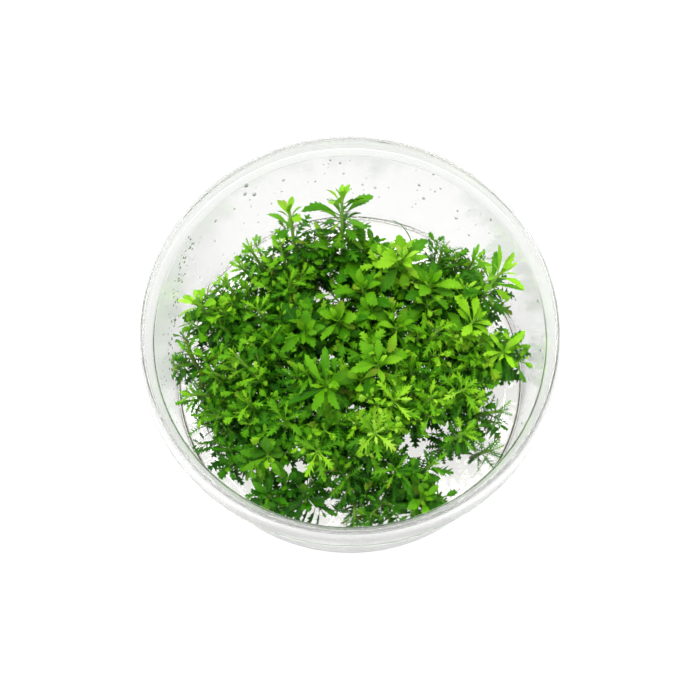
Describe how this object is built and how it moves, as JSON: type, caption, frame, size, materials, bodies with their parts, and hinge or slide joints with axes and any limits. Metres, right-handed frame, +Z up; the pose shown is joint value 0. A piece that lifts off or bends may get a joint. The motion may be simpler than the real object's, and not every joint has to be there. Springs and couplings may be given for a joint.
{
  "type": "potted aquarium plant",
  "caption": "Clear round plastic culture cup of Cuba mermaid weed, young green plants with toothed and comb-cut leaves standing in clear gel.",
  "frame": {"origin": "middle of the cup's underside, on the plane of its foot ring", "axes": "+Z up out of the cup's mouth, +X to the right and -Y towards the viewer of the picture"},
  "size_m": [0.1026, 0.1026, 0.045],
  "materials": {
    "clear_plastic": "clear moulded plastic, smooth",
    "clear_gel": "clear nutrient gel, wet",
    "broad_leaves": "living leaf, satin, toothed",
    "comb_leaves": "living leaf, satin, comb-cut",
    "narrow_leaves": "living leaf, satin, narrow",
    "feathery_leaves": "living leaf, satin, finely divided"
  },
  "bodies": {
    "root": {"cup": "clear_plastic", "gel": "clear_gel", "plant_01": "broad_leaves", "plant_02": "broad_leaves", "plant_03": "comb_leaves", "plant_04": "comb_leaves", "plant_05": "broad_leaves", "plant_06": "comb_leaves", "plant_07": "comb_leaves", "plant_08": "broad_leaves", "plant_09": "broad_leaves", "plant_10": "feathery_leaves", "plant_11": "broad_leaves", "plant_12": "narrow_leaves", "plant_13": "broad_leaves", "plant_14": "comb_leaves", "plant_15": "narrow_leaves", "plant_16": "comb_leaves", "plant_17": "broad_leaves", "plant_18": "comb_leaves", "plant_19": "comb_leaves", "plant_20": "narrow_leaves", "plant_21": "broad_leaves", "plant_22": "comb_leaves", "plant_23": "broad_leaves", "plant_24": "broad_leaves", "plant_25": "comb_leaves", "plant_26": "broad_leaves", "plant_27": "comb_leaves", "plant_28": "comb_leaves", "plant_29": "comb_leaves", "plant_30": "comb_leaves", "plant_31": "feathery_leaves", "plant_32": "feathery_leaves", "plant_33": "comb_leaves", "plant_34": "broad_leaves", "plant_35": "broad_leaves", "plant_36": "comb_leaves", "plant_37": "feathery_leaves", "plant_38": "comb_leaves", "plant_39": "feathery_leaves", "plant_40": "comb_leaves", "plant_41": "broad_leaves", "plant_42": "broad_leaves", "plant_43": "broad_leaves", "plant_44": "comb_leaves", "plant_45": "broad_leaves", "plant_46": "broad_leaves", "plant_47": "feathery_leaves", "plant_48": "broad_leaves", "plant_49": "feathery_leaves", "plant_50": "broad_leaves", "plant_51": "feathery_leaves", "plant_52": "broad_leaves", "plant_53": "feathery_leaves", "plant_54": "feathery_leaves", "plant_55": "feathery_leaves"}
  },
  "joints": []
}
